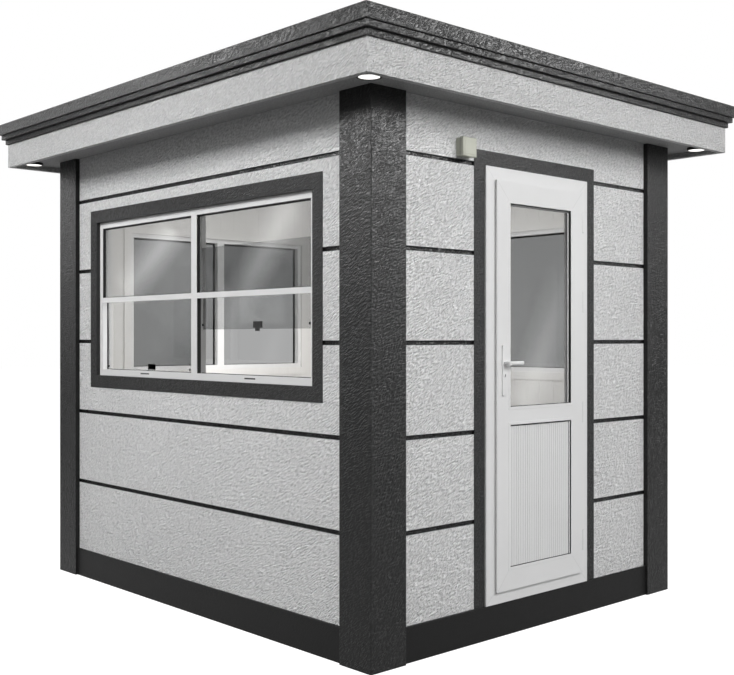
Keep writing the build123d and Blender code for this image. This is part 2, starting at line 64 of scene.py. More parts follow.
WALL_LOW, WALL_HIGH = (rounded(corner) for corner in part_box("right_wall"))
HALF_X, HALF_Y = WALL_HIGH[:2]
WALL, POST_COVER, FLOOR_LEVEL, CEILING_LEVEL = rounded(
    (
        HALF_X - WALL_LOW[0],
        HALF_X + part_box("front_left_post")[1].x,
        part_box("floor_panel")[1].z,
        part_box("ceiling_panel")[0].z,
    )
)
WHITE = (1.0, 1.0, 1.0, 1.0)
ROUND_SEGMENTS = 24


class Side(Enum):
    """The four walls, by the turn in degrees that brings the front wall there."""

    FRONT = 0
    RIGHT = 90
    BACK = 180
    LEFT = -90

    @property
    def label(self) -> str:
        """The wall's name in the names of pieces and nodes."""
        return self.name.lower()

    @property
    def is_end(self) -> bool:
        """Whether the wall is one of the two short ones."""
        return self in (Side.FRONT, Side.BACK)

    @property
    def half_length(self) -> float:
        """Half the wall's outer length."""
        return HALF_X if self.is_end else HALF_Y

    @property
    def place(self) -> Matrix:
        """The matrix from wall measures (along, inwards, up) to the booth's frame."""
        reach = HALF_Y if self.is_end else HALF_X
        return Matrix.Rotation(math.radians(self.value), 4, "Z") @ Matrix.Translation((0, -reach, 0))


class Body(Enum):
    """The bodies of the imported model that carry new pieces."""

    BOOTH = "booth"
    DOOR = "door"


class Shows(Enum):
    """How a lamp lights the booth: as (reflections, spread light)."""

    BOTH = (True, True)
    REFLECTION = (True, False)
    SPREAD = (False, True)


@dataclass
class WallBox:
    """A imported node's limits in a wall's measures."""

    wide: Span
    deep: Span
    tall: Span

    @classmethod
    def of(cls, node: str, side: Side) -> "WallBox":
        """Reads a node's box.

        Args:
            node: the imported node.
            side: the wall it belongs to.

        Returns:
            Its limits along the wall, inwards from the wall's face, and in height.
        """
        back = side.place.inverted()
        corners = [rounded(back @ corner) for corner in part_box(node)]
        return cls(*(tuple(sorted(pair)) for pair in zip(*corners)))


class Wire:
    """A value socket that takes part in Python arithmetic by adding Math nodes."""

    def __init__(self, graph: "Graph", socket: Socket) -> None:
        """Wraps one socket of a graph."""
        self.graph = graph
        self.socket = socket

    def math(self, operation: str, first: "Wire | float", second: "Wire | float") -> "Wire":
        """Adds one Math node.

        Args:
            operation: Blender's name of the operation.
            first: the first operand.
            second: the second operand.

        Returns:
            The node's result.
        """
        node = self.graph.node("ShaderNodeMath", {"operation": operation}, {0: first, 1: second})
        return Wire(self.graph, node.outputs[0])

    def __add__(self, other: "Wire | float") -> "Wire":
        """self + other."""
        return self.math("ADD", self, other)

    def __radd__(self, other: float) -> "Wire":
        """other + self."""
        return self.math("ADD", other, self)

    def __sub__(self, other: "Wire | float") -> "Wire":
        """self - other."""
        return self.math("SUBTRACT", self, other)

    def __rsub__(self, other: float) -> "Wire":
        """other - self."""
        return self.math("SUBTRACT", other, self)

    def __mul__(self, other: "Wire | float") -> "Wire":
        """self * other."""
        return self.math("MULTIPLY", self, other)

    def __rmul__(self, other: float) -> "Wire":
        """other * self."""
        return self.math("MULTIPLY", other, self)

    def __truediv__(self, other: "Wire | float") -> "Wire":
        """self / other."""
        return self.math("DIVIDE", self, other)

    def __rtruediv__(self, other: float) -> "Wire":
        """other / self."""
        return self.math("DIVIDE", other, self)

    def __abs__(self) -> "Wire":
        """The size of the value."""
        return self.math("ABSOLUTE", self, 0.0)

    def __gt__(self, other: "Wire | float") -> "Wire":
        """1 where self is above other, else 0."""
        return self.math("GREATER_THAN", self, other)

    def __lt__(self, other: "Wire | float") -> "Wire":
        """1 where self is below other, else 0."""
        return self.math("LESS_THAN", self, other)

    def __or__(self, other: "Wire") -> "Wire":
        """The greater of two masks."""
        return self.math("MAXIMUM", self, other)

    def __and__(self, other: "Wire") -> "Wire":
        """The lesser of two masks."""
        return self.math("MINIMUM", self, other)


class Graph:
    """The node tree of one material or of the world."""

    def __init__(self, tree: bpy.types.NodeTree) -> None:
        """Empties the tree and keeps it."""
        self.tree = tree
        tree.nodes.clear()

    def node(
        self, kind: str, settings: dict | None = None, sockets: dict | None = None
    ) -> bpy.types.Node:
        """Adds one node.

        Args:
            kind: the node's type name.
            settings: attributes to set first; "stops" are a colour ramp's (place, value) pairs.
            sockets: input values, sockets or wires, by name or number.

        Returns:
            The new node.
        """
        made = self.tree.nodes.new(kind)
        for name, value in (settings or {}).items():
            if name == "stops":
                ramp = made.color_ramp.elements
                while len(ramp) < len(value):
                    ramp.new(1.0)
                for element, (place, shade) in zip(ramp, value):
                    element.position = place
                    element.color = (shade, shade, shade, 1.0)
            else:
                setattr(made, name, value)
        for name, value in (sockets or {}).items():
            if isinstance(value, Wire):
                value = value.socket
            if isinstance(value, Socket):
                self.tree.links.new(value, made.inputs[name])
            else:
                made.inputs[name].default_value = value
        return made

    def wire(self, socket: Socket) -> Wire:
        """A socket wrapped for arithmetic."""
        return Wire(self, socket)

    def shader(self, kind: str, sockets: dict) -> Socket:
        """The output of a new shader node."""
        return self.node(kind, None, sockets).outputs[0]

    def point(self) -> Socket:
        """The point itself, in metres."""
        return self.node("ShaderNodeTexCoord").outputs["Object"]

    def place(self) -> tuple[Wire, Wire, Wire]:
        """The point's own x, y and z in metres."""
        parts = self.node("ShaderNodeSeparateXYZ", None, {0: self.point()})
        return tuple(self.wire(out) for out in parts.outputs)

    def lying(self, steepest: float) -> Wire:
        """Marks the faces that lie flat.

        Args:
            steepest: the least upright share of the normal of a face that counts as flat.

        Returns:
            1 on those faces, else 0.
        """
        source = self.node("ShaderNodeTexCoord")
        parts = self.node("ShaderNodeSeparateXYZ", None, {0: source.outputs["Normal"]})
        return abs(self.wire(parts.outputs[2])) > steepest

    def vector(self, x: Wire | float, y: Wire | float, z: Wire | float) -> Socket:
        """A vector of three values."""
        return self.node("ShaderNodeCombineXYZ", None, {0: x, 1: y, 2: z}).outputs[0]

    def noise(
        self, vector: Socket, scale: float, detail: float, rough: float = 0.5, warp: float = 0.0
    ) -> Wire:
        """A noise field.

        Args:
            vector: the point to read it at.
            scale: cells to a unit of the vector.
            detail: number of finer layers.
            rough: weight of the finer layers.
            warp: how far the field is bent by itself.

        Returns:
            The field, about 0 to 1.
        """
        sockets = {"Vector": vector, "Scale": scale, "Detail": detail}
        sockets |= {"Roughness": rough, "Distortion": warp}
        return self.wire(self.node("ShaderNodeTexNoise", None, sockets).outputs["Fac"])

    def grains(self, vector: Socket, softness: float) -> Wire:
        """Close-packed rounded grains.

        Args:
            vector: the point to read them at, one grain to a unit.
            softness: how far neighbouring grains run into each other.

        Returns:
            Their height, 1 at a grain's middle.
        """
        sockets = {"Vector": vector, "Scale": 1.0, "Smoothness": softness}
        node = self.node("ShaderNodeTexVoronoi", {"feature": "SMOOTH_F1"}, sockets)
        return 1 - self.wire(node.outputs["Distance"])

    def ramp(self, value: Wire, stops: Stops, kind: str = "EASE") -> Wire:
        """Bends a value through a ramp.

        Args:
            value: the value to bend.
            stops: the ramp's (place, value) pairs.
            kind: Blender's name of the interpolation.

        Returns:
            The bent value.
        """
        node = self.node("ShaderNodeValToRGB", {"stops": stops}, {0: value})
        node.color_ramp.interpolation = kind
        return self.wire(node.outputs[0])

    def tint(self, share: Wire, low: Colour, high: Colour) -> Socket:
        """A colour between two, by share."""
        sockets = {0: share, 6: (*low, 1.0), 7: (*high, 1.0)}
        return self.node("ShaderNodeMix", {"data_type": "RGBA"}, sockets).outputs[2]

    def shaded(self, colour: Colour, shade: Wire) -> Socket:
        """A colour made darker or lighter by a shade, -0.5 being half and 0.5 half as much again."""
        return self.tint(shade + 0.5, scaled(colour, 0.5), scaled(colour, 1.5))

    def bump(self, height: Wire, distance: float, strength: float = 1.0) -> Socket:
        """A normal tilted by a height field of that depth in metres."""
        sockets = {"Height": height, "Distance": distance, "Strength": strength}
        return self.node("ShaderNodeBump", None, sockets).outputs[0]

    def output(self, shader: Socket, kind: str = "ShaderNodeOutputMaterial") -> None:
        """Connects the surface."""
        self.node(kind, None, {0: shader})

    def principled(self, sockets: dict) -> None:
        """Connects a Principled surface with these values."""
        self.output(self.shader("ShaderNodeBsdfPrincipled", sockets))


def scaled(colour: Colour, share: float) -> Colour:
    """A colour made darker or lighter."""
    return tuple(channel * share for channel in colour)


def grey(level: float) -> Colour:
    """A neutral colour."""
    return level, level, level


def new_material(name: str) -> tuple[bpy.types.Material, Graph]:
    """Starts a node material.

    Args:
        name: the material's name.

    Returns:
        The material and its empty graph.
    """
    material = bpy.data.materials.new(name)
    material.use_nodes = True
    return material, Graph(material.node_tree)


@dataclass(frozen=True)
class Finish(ABC):
    """What a surface is made of; each finish makes its material once."""

    name: str
    made: ClassVar[dict[str, bpy.types.Material]] = {}

    @abstractmethod
    def build(self, graph: Graph) -> None:
        """Adds the finish's nodes to an empty graph."""

    def material(self) -> bpy.types.Material:
        """Gives the finish's material.

        Returns:
            The material, made at its first use.
        """
        if self.name not in Finish.made:
            Finish.made[self.name], graph = new_material(self.name)
            self.build(graph)
        return Finish.made[self.name]


@dataclass(frozen=True)
class EmbossedPaint(Finish):
    """Paint over a rolled relief of short slanting strokes, with or without packed grains.

    Strokes and grains are sized along and across the slant. The layers are slices of the
    noise, so that its fields differ.
    """

    colour: Colour
    roughness: float
    shine: float
    relief: float
    scale: float = 0.70
    packed: float = 0.6
    calm: float = 0.8
    mottling: float = 0.05
    # painted shade: how strongly the relief darkens its hollows and lightens its ridges in the base
    # colour
    crevice_shade: float = 0.42
    slant: float = math.radians(33)
    flat_from: float = 0.8
    stroke: Span = (0.026, 0.0066)
    cross_stroke: Span = (0.011, 0.013)
    cross_share: float = 0.24
    grain: Span = (0.017, 0.0062)
    grain_softness: float = 0.25
    patches: float = 20.0
    clouds: float = 1.6
    unevenness: float = 0.25
    cloud_layer: float = 3.0
    patch_layer: float = 5.0
    cross_layer: float = 7.0
    stroke_profile: Stops = ((0.34, 0.0), (0.50, 0.56), (0.64, 1.0))
    grain_profile: Stops = ((0.35, 0.0), (0.78, 1.0))
    patch_span: Span = (0.36, 0.6)

    def build(self, graph: Graph) -> None:
        """Adds the strokes, the grains and the paint.

        Args:
            graph: the empty graph of the material.
        """
        x, y, z = graph.place()
        flat = graph.lying(self.flat_from)
        right = x - y * (1 - flat)
        up = z + (y - z) * flat
        lean, climb = math.cos(self.slant), math.sin(self.slant)
        along = right * lean + up * climb
        across = up * lean - right * climb
        fine = 1 / self.scale
        cells = graph.vector(along / self.stroke[0], across / self.stroke[1], 0.0)
        strokes = graph.noise(cells, fine, detail=1.0, rough=0.4, warp=0.3)
        cells = graph.vector(
            along / self.cross_stroke[0], across / self.cross_stroke[1], self.cross_layer
        )
        crossed = graph.noise(cells, fine, detail=1.0, rough=0.4, warp=0.4)
        mixed = strokes * (1 - self.cross_share) + crossed * self.cross_share
        pressed = graph.ramp(mixed, self.stroke_profile)
        if self.packed:
            cells = graph.vector(along / self.grain[0], across / self.grain[1], 0.0)
            grains = graph.ramp(graph.grains(cells, self.grain_softness), self.grain_profile)
            pressed = pressed * (1 - self.packed) + grains * self.packed
        place = graph.vector(right, up, self.patch_layer)
        patches = graph.noise(place, self.patches * fine, detail=1.0)
        depth = graph.ramp(patches, ((self.patch_span[0], self.calm), (self.patch_span[1], 1.0)))
        relief = (pressed - 0.5) * depth
        cloud = graph.noise(graph.vector(right, up, self.cloud_layer), self.clouds, detail=3.0)
        # painted shade: the relief darkens the hollows and lightens the raised strokes in the base
        # colour; the cloud term is random tone
        shade = (cloud - 0.5) * (2 * self.mottling) + relief * self.crevice_shade
        graph.principled(
            {
                "Base Color": graph.shaded(self.colour, shade),
                "Roughness": self.roughness + (crossed - 0.5) * self.unevenness,
                "Specular IOR Level": self.shine,
                "Normal": graph.bump(relief, self.relief),
            }
        )


@dataclass(frozen=True)
class Mitre:
    """A welded corner line, at height level + slope * |x| between low and high."""

    level: float
    slope: float
    low: float
    high: float
    half_width: float = 0.0013

    @classmethod
    def between(cls, outer: Span, inner: Span) -> "Mitre":
        """Lays the line across a corner.

        Args:
            outer: the corner's outer end, as place along the wall and height.
            inner: its inner end.

        Returns:
            The line.
        """
        slope = (outer[1] - inner[1]) / (outer[0] - inner[0])
        low, high = sorted((outer[1], inner[1]))
        return cls(outer[1] - slope * outer[0], slope, low, high)

    def line(self, x: Wire, z: Wire) -> Wire:
        """1 on the line, else 0."""
        away = abs(z - abs(x) * self.slope - self.level)
        return (away < self.half_width) & (z > self.low) & (z < self.high)


@dataclass(frozen=True)
class WhitePvc(Finish):
    """Satin extruded PVC with a faint grain and welded mitres."""

    colour: Colour = grey(0.70)
    mitres: tuple[Mitre, ...] = ()
    roughness: float = 0.2
    shine: float = 0.18
    clouds: float = 5.0
    mottling: float = 0.06
    grains: float = 90.0
    grain_height: float = 0.06
    unevenness: float = 0.1
    # painted shade: how much the weld lines are darkened in the base colour
    weld_shade: float = 0.16
    weld_depth: float = 0.0004
    weld_strength: float = 0.6

    def build(self, graph: Graph) -> None:
        """Adds the grain, the welds and the plastic.

        Args:
            graph: the empty graph of the material.
        """
        x, _, z = graph.place()
        grain = graph.noise(graph.point(), self.grains, detail=2.0)
        shade = (graph.noise(graph.point(), self.clouds, detail=3.0) - 0.5) * self.mottling
        height = grain * self.grain_height
        if self.mitres:
            weld = reduce(Wire.__or__, [mitre.line(x, z) for mitre in self.mitres])
            # painted shade: the weld lines are darkened in the base colour as well as sunk by the
            # bump
            shade = shade - weld * self.weld_shade
            height = height - weld
        graph.principled(
            {
                "Base Color": graph.shaded(self.colour, shade),
                "Roughness": self.roughness + (grain - 0.5) * self.unevenness,
                "Specular IOR Level": self.shine,
                "Normal": graph.bump(height, self.weld_depth, self.weld_strength),
            }
        )


@dataclass(frozen=True)
class TintedGlass(Finish):
    """Flat grey glass; each of a sheet's two faces takes its share of the light."""

    passed: float
    colour: Colour = (0.996, 1.0, 1.0)
    roughness: float = 0.015
    refraction: float = 1.45
    clouds: float = 2.5
    film: float = 0.12

    def build(self, graph: Graph) -> None:
        """Adds the clear sheet and its outer reflection.

        Args:
            graph: the empty graph of the material.
        """
        face = scaled(self.colour, math.sqrt(self.passed))
        clear = graph.shader("ShaderNodeBsdfTransparent", {0: (*face, 1.0)})
        mirror = graph.shader("ShaderNodeBsdfGlossy", {"Color": WHITE, "Roughness": self.roughness})
        sheen = graph.wire(graph.node("ShaderNodeFresnel", None, {"IOR": self.refraction}).outputs[0])
        inside = graph.wire(graph.node("ShaderNodeNewGeometry").outputs["Backfacing"])
        film = graph.noise(graph.point(), self.clouds, detail=3.0)
        share = sheen * ((1 - self.film / 2) + film * self.film) * (1 - inside)
        graph.output(graph.shader("ShaderNodeMixShader", {0: share, 1: clear, 2: mirror}))


@dataclass(frozen=True)
class Moulded(Finish):
    """Moulded plastic or rubber with a fine sparked grain."""

    colour: Colour
    roughness: float
    shine: float = 0.2
    clouds: float = 9.0
    mottling: float = 0.08
    sparks: float = 900.0
    unevenness: float = 0.2
    grain_depth: float = 0.0002
    grain_strength: float = 0.5

    def build(self, graph: Graph) -> None:
        """Adds the grain and the plastic.

        Args:
            graph: the empty graph of the material.
        """
        cloud = graph.noise(graph.point(), self.clouds, detail=3.0)
        sparks = graph.noise(graph.point(), self.sparks, detail=1.0)
        low, high = (scaled(self.colour, 1 + change) for change in (-self.mottling, self.mottling))
        graph.principled(
            {
                "Base Color": graph.tint(cloud, low, high),
                "Roughness": self.roughness + (sparks - 0.5) * self.unevenness,
                "Specular IOR Level": self.shine,
                "Normal": graph.bump(sparks, self.grain_depth, self.grain_strength),
            }
        )


@dataclass(frozen=True)
class LampLens(Finish):
    """A lit, finely frosted lens."""

    strength: float
    dim: Colour = (0.95, 0.94, 0.90)
    bright: Colour = (1.0, 0.99, 0.95)
    frost: float = 260.0
    roughness: float = 0.3
    unevenness: float = 0.2

    def build(self, graph: Graph) -> None:
        """Adds the frost and the light.

        Args:
            graph: the empty graph of the material.
        """
        frost = graph.noise(graph.point(), self.frost, detail=2.0)
        glow = graph.tint(frost, self.dim, self.bright)
        graph.principled(
            {
                "Base Color": glow,
                "Roughness": self.roughness + frost * self.unevenness,
                "Emission Color": glow,
                "Emission Strength": self.strength,
            }
        )


@dataclass(frozen=True)
class Board(Finish):
    """A painted or faced board; its grain is given as streaks to a metre along x, y and z."""

    colour: Colour
    grain: Point
    contrast: float
    roughness: float
    clouds: float = 2.2
    cloud_share: float = 0.6
    unevenness: float = 0.15
    grain_depth: float = 0.0006
    grain_strength: float = 0.5

    def build(self, graph: Graph) -> None:
        """Adds the grain and the paint.

        Args:
            graph: the empty graph of the material.
        """
        drawn = graph.vector(*(value * cells for value, cells in zip(graph.place(), self.grain)))
        streaks = graph.noise(drawn, 1.0, detail=4.0, rough=0.55, warp=0.4)
        cloud = graph.noise(graph.point(), self.clouds, detail=2.0)
        shade = (streaks - 0.5) * self.contrast + (cloud - 0.5) * (self.contrast * self.cloud_share)
        graph.principled(
            {
                "Base Color": graph.shaded(self.colour, shade),
                "Roughness": self.roughness + (streaks - 0.5) * self.unevenness,
                "Normal": graph.bump(streaks, self.grain_depth, self.grain_strength),
            }
        )


def corner_mitres(outer: WallBox, top: Span, bottom: Span) -> tuple[Mitre, Mitre]:
    """Lays the welds of a door rectangle's upper and lower corners.

    Args:
        outer: the rectangle.
        top: inner end of the upper corners' line, as place along the wall and height.
        bottom: inner end of the lower corners' line.

    Returns:
        Both lines; each serves the left and the right corner.
    """
    edge, (foot, head) = outer.wide[1], outer.tall
    return Mitre.between((edge, head), top), Mitre.between((edge, foot), bottom)


DOOR_FRAME, DOOR_LEAF, DOOR_GLASS, DOOR_PANEL = (
    WallBox.of(f"door_{name}", Side.FRONT) for name in ("frame", "leaf", "glass", "panel")
)
FRAME_WELD = 0.100

CLADDING = EmbossedPaint(
    "light_cladding", grey(0.77), roughness=0.50, shine=0.06, relief=0.0098,
    scale=0.8, packed=0.0, calm=0.7,
)
FASCIA = EmbossedPaint(
    "fascia_cladding", grey(0.52), roughness=0.50, shine=0.06, relief=0.0068, scale=0.72, calm=0.7
)
CHARCOAL = EmbossedPaint(
    "charcoal_paint", grey(0.024), roughness=0.32, shine=0.065, relief=0.0028, packed=0.55, calm=0.6
)
TRIM = EmbossedPaint(
    "trim_paint", grey(0.039), roughness=0.30, shine=0.032, relief=0.0030, crevice_shade=0.25
)
CORNICE = EmbossedPaint("cornice_paint", grey(0.026), roughness=0.32, shine=0.055, relief=0.0036)
SOFFIT = EmbossedPaint(
    "soffit_board", grey(0.31), roughness=0.6, shine=0.08, relief=0.0020, scale=0.72, packed=0.0
)
PLINTH = EmbossedPaint(
    "plinth_paint", grey(0.015), roughness=0.42, shine=0.05, relief=0.0006, packed=0.0, crevice_shade=0.04
)
JOINT = EmbossedPaint(
    "joint_strip", grey(0.004), roughness=0.30, shine=0.12, relief=0.0042, scale=0.6, packed=0.7
)
ROOFING = EmbossedPaint(
    "roof_sheet", (0.13, 0.13, 0.134), roughness=0.72, shine=0.15, relief=0.0030,
    scale=0.55, packed=0.5, calm=0.5, mottling=0.30, crevice_shade=0.5,
)
PVC = WhitePvc("white_pvc")
FRAME_PVC = WhitePvc(
    "door_frame_pvc",
    mitres=corner_mitres(
        DOOR_FRAME,
        (DOOR_FRAME.wide[1] - FRAME_WELD, DOOR_FRAME.tall[1] - FRAME_WELD),
        (DOOR_FRAME.wide[1] - FRAME_WELD, DOOR_FRAME.tall[0] + FRAME_WELD),
    ),
)
LEAF_PVC = WhitePvc(
    "door_leaf_pvc",
    mitres=corner_mitres(
        DOOR_LEAF,
        (DOOR_GLASS.wide[1], DOOR_GLASS.tall[1]),
        (DOOR_PANEL.wide[1], DOOR_PANEL.tall[0]),
    ),
)
SINGLE_GLASS = TintedGlass("single_sheet_glass", passed=0.52)
SASH_GLASS = TintedGlass("sash_glass", passed=0.57)
SEALED_GLASS = TintedGlass("sealed_unit_glass", passed=0.40)
GUIDE = Moulded("grey_guide", grey(0.30), roughness=0.5)
# black rubber for the seals and gaskets; also the junction box's ring of painted shade
RUBBER_AND_SHADE = Moulded("black_rubber_and_shade", grey(0.010), roughness=0.55)
BLACK_PLASTIC = Moulded("black_plastic", grey(0.008), roughness=0.45)
BEIGE_PLASTIC = Moulded("beige_plastic", (0.47, 0.477, 0.411), roughness=0.55, shine=0.03)
LENS = LampLens("lamp_lens", strength=1.3)
LINING = Board("pale_lining", (0.70, 0.69, 0.675), (60.0, 60.0, 2.5), contrast=0.10, roughness=0.42)
CEILING = Board("ceiling_board", (0.72, 0.715, 0.70), (30.0, 2.0, 30.0), contrast=0.08, roughness=0.5)
FLOORING = Board("floor_sheet", (0.44, 0.425, 0.40), (4.0, 60.0, 60.0), contrast=0.5, roughness=0.4)


class Piece:
    """A new mesh, drawn in a wall's measures and finished as one object."""

    def __init__(self, name: str, side: Side) -> None:
        """Starts an empty mesh.

        Args:
            name: the piece's name.
            side: the wall whose measures it is drawn in.
        """
        self.name = name
        self.place = side.place
        self.mesh = bmesh.new()

    def bevel(self, edges: list[bmesh.types.BMEdge], size: float, segments: int) -> None:
        """Rounds edges.

        Args:
            edges: the edges to round.
            size: how far the rounding reaches from each edge.
            segments: faces across it.
        """
        bmesh.ops.bevel(
            self.mesh, geom=edges, offset=size, offset_type="OFFSET", segments=segments,
            profile=0.5, affect="EDGES", clamp_overlap=True, material=-1,
        )

    def block(
        self, low: Point, high: Point, rounding: float = 0.0, segments: int = 1
    ) -> list[bmesh.types.BMVert]:
        """Adds a box between two corners.

        Args:
            low: its lowest corner.
            high: its highest corner.
            rounding: size of the bevel on its edges, if any.
            segments: faces across the bevel.

        Returns:
            The box's vertices before any bevel.
        """
        low, high = Vector(low), Vector(high)
        matrix = Matrix.Translation((low + high) / 2) @ Matrix.Diagonal((*(high - low), 1.0))
        verts = bmesh.ops.create_cube(self.mesh, size=1.0, matrix=matrix)["verts"]
        if rounding:
            self.bevel(list({edge for vert in verts for edge in vert.link_edges}), rounding, segments)
        return verts

    def channel(self, low: Point, high: Point, thickness: float) -> None:
        """Adds a trough, open on its outer side, that lines the box between two corners.

        Args:
            low: the box's lowest corner.
            high: the box's highest corner.
            thickness: of the trough's walls.
        """
        verts = self.block(low, high)
        faces = list({face for vert in verts for face in vert.link_faces})
        self.mesh.normal_update()
        mouth = min(faces, key=lambda face: face.calc_center_median().y)
        faces.remove(mouth)
        bmesh.ops.delete(self.mesh, geom=[mouth], context="FACES_ONLY")
        bmesh.ops.solidify(self.mesh, geom=faces, thickness=thickness)

    def rectangle(self, wide: Span, tall: Span, depth: float) -> list[bmesh.types.BMEdge]:
        """Adds the four edges of an upright rectangle.

        Args:
            wide: its limits along the wall.
            tall: its limits in height.
            depth: how far in from the wall's face it stands.

        Returns:
            The edges.
        """
        middle = Vector(((wide[0] + wide[1]) / 2, depth, (tall[0] + tall[1]) / 2))
        size = Matrix.Diagonal((wide[1] - wide[0], tall[1] - tall[0], 1.0, 1.0))
        matrix = Matrix.Translation(middle) @ Matrix.Rotation(math.pi / 2, 4, "X") @ size
        made = bmesh.ops.create_grid(self.mesh, x_segments=1, y_segments=1, size=0.5, matrix=matrix)
        face = made["verts"][0].link_faces[0]
        edges = list(face.edges)
        bmesh.ops.delete(self.mesh, geom=[face], context="FACES_ONLY")
        return edges

    def ring(
        self, wide: Span, tall: Span, margins: Margins, depth: Span, rounding: float = 0.0
    ) -> None:
        """Adds an upright rectangular ring.

        Args:
            wide: its outer limits along the wall.
            tall: its outer limits in height.
            margins: its widths at the left, right, bottom and top.
            depth: its limits inwards from the wall's face.
            rounding: bevel of the edges of its front face.
        """
        left, right, bottom, top = margins
        hole_wide = (wide[0] + left, wide[1] - right)
        hole_tall = (tall[0] + bottom, tall[1] - top)
        edges = self.rectangle(wide, tall, depth[1]) + self.rectangle(hole_wide, hole_tall, depth[1])
        faces = bmesh.ops.bridge_loops(self.mesh, edges=edges)["faces"]
        grown = bmesh.ops.extrude_face_region(self.mesh, geom=faces)["geom"]
        verts = [item for item in grown if isinstance(item, bmesh.types.BMVert)]
        bmesh.ops.translate(self.mesh, verts=verts, vec=(0, depth[0] - depth[1], 0))
        if rounding:
            front = {item for item in grown if isinstance(item, bmesh.types.BMFace)}
            edges = {edge for face in front for edge in face.edges}
            rim = [edge for edge in edges if sum(face in front for face in edge.link_faces) == 1]
            self.bevel(rim, rounding, 2)

    def disc(self, centre: Span, radius: float, depth: Span, rounding: float) -> None:
        """Adds a short round stud whose axis runs inwards.

        Args:
            centre: its place along the wall and its height.
            radius: its radius.
            depth: its limits inwards from the wall's face.
            rounding: bevel of its two rims.
        """
        middle = Vector((centre[0], (depth[0] + depth[1]) / 2, centre[1]))
        made = bmesh.ops.create_cone(
            self.mesh, cap_ends=True, segments=ROUND_SEGMENTS, radius1=radius, radius2=radius,
            depth=depth[1] - depth[0],
            matrix=Matrix.Translation(middle) @ Matrix.Rotation(math.pi / 2, 4, "X"),
        )
        edges = {edge for vert in made["verts"] for edge in vert.link_edges}
        rims = [edge for edge in edges if any(len(face.verts) > 4 for face in edge.link_faces)]
        self.bevel(rims, rounding, 2)

    def finish(self, body: Body, slot: str, finish: Finish) -> None:
        """Closes the mesh and makes it one object of the booth.

        Args:
            body: the body it moves with.
            slot: the record's material slot; not used.
            finish: what it is made of.
        """
        bmesh.ops.recalc_face_normals(self.mesh, faces=self.mesh.faces)
        bmesh.ops.transform(self.mesh, matrix=self.place, verts=self.mesh.verts)
        data = bpy.data.meshes.new(self.name)
        self.mesh.to_mesh(data)
        self.mesh.free()
        data.materials.append(finish.material())
        made = bpy.data.objects.new(self.name, data)
        bpy.context.scene.collection.objects.link(made)
        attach(made, body.value)
        LOG.info("piece %s: %d faces, on %s", self.name, len(data.polygons), body.value)


def dress(finish: Finish, *nodes: str) -> None:
    """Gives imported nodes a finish.

    Args:
        finish: what they are made of.
        nodes: their names.
    """
    for name in nodes:
        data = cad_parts[name].data
        data.materials.clear()
        data.materials.append(finish.material())
        LOG.info("node %s: %s", name, finish.name)


@dataclass
class Opening:
    """A wall opening inside its trim: limits along the wall and in height."""

    side: Side
    wide: Span
    tall: Span
    trim: float = 0.068

    @classmethod
    def behind(cls, node: str, side: Side, lap: float) -> "Opening":
        """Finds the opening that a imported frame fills.

        Args:
            node: the frame.
            side: the wall it stands in.
            lap: how far the frame reaches past the opening, behind the trim.

        Returns:
            The opening.
        """
        box = WallBox.of(node, side)
        return cls(side, *((low + lap, high - lap) for low, high in (box.wide, box.tall)))


@dataclass
class Cladding:
    """The grooved outer walls, and the dark strips that line their grooves."""

    pitch: float = 0.3957
    groove: float = 0.020
    depth: float = 0.010
    rows: int = 5
    skin: float = 0.001
    inset: float = 0.0006
    tuck: float = 0.006

    def build(self, openings: list[Opening]) -> None:
        """Lines each wall's grooves, stopping at the trim of its opening.

        Args:
            openings: one to each wall.
        """
        for opening in openings:
            piece = Piece(f"{opening.side.label}_joint_strips", opening.side)
            reach = opening.side.half_length - POST_COVER + self.tuck
            left, right = opening.wide[0] - opening.trim, opening.wide[1] + opening.trim
            low, high = opening.tall[0] - opening.trim, opening.tall[1] + opening.trim
            for row in range(1, self.rows + 1):
                top = FLOOR_LEVEL + row * self.pitch
                foot = top - self.groove
                cut = low < top and foot < high
                for x0, x1 in [(-reach, left), (right, reach)] if cut else [(-reach, reach)]:
                    piece.channel((x0, self.inset, foot), (x1, self.depth, top), self.skin)
            piece.finish(Body.BOOTH, "charcoal_trim", JOINT)

    def dress(self) -> None:
        """Finishes the walls."""
        dress(CLADDING, "left_wall", "right_wall", "back_wall")
        dress(CLADDING, "front_wall_left", "front_wall_right", "front_wall_over_door")


class DarkTrim:
    """Posts, plinths and the flat bands round the openings."""

    def dress(self) -> None:
        """Finishes the dark pieces."""
        dress(CHARCOAL, "front_left_post", "front_right_post", "back_right_post", "back_left_post")
        dress(TRIM, "door_trim", "left_window_trim", "right_window_trim", "back_window_trim")
        dress(PLINTH, "end_plinths", "side_plinths")


class Eaves:
    """Soffits with their downlights, fascias, cornice and roof."""

    def dress(self) -> None:
        """Finishes the eaves and the roof."""
        dress(SOFFIT, "side_soffits", "end_soffits")
        dress(FASCIA, "end_fascias", "side_fascias")
        dress(CORNICE, "end_cornices", "side_cornices")
        dress(BLACK_PLASTIC, "downlight_rings")
        dress(LENS, "downlight_lenses")
        dress(ROOFING, "roof_deck")


